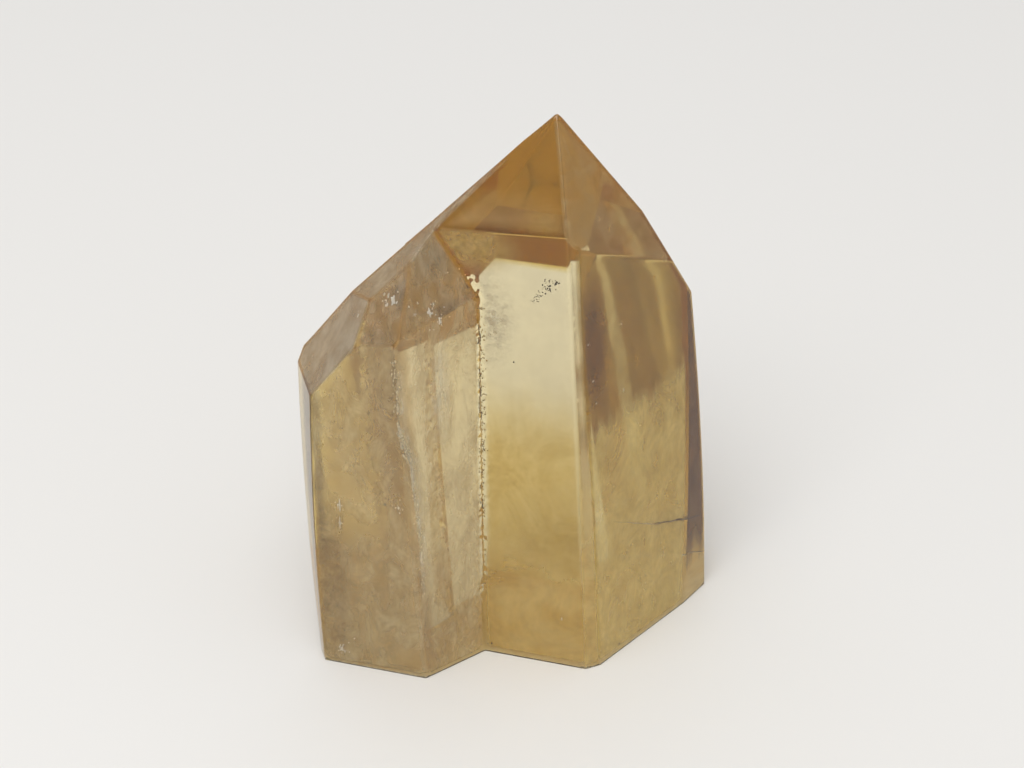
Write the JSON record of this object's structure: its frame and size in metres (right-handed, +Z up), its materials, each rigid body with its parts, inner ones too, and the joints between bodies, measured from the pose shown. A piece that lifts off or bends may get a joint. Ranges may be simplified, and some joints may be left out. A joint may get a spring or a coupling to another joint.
{
  "type": "citrine crystal point",
  "caption": "Polished citrine point: a tall quartz crystal with a pointed tip and a shorter crystal grown onto its left side, cut flat below to stand.",
  "frame": {"origin": "on the cut base, under the middle of the stone's box", "axes": "+Z up towards the tip, the front of the stone looks along -Y, +X to its right with the tall crystal on that side"},
  "size_m": [0.0382, 0.027, 0.058],
  "materials": {
    "citrine": "polished, clear to slightly veiled, amber"
  },
  "bodies": {
    "root": {"citrine_point": "citrine"}
  },
  "joints": []
}
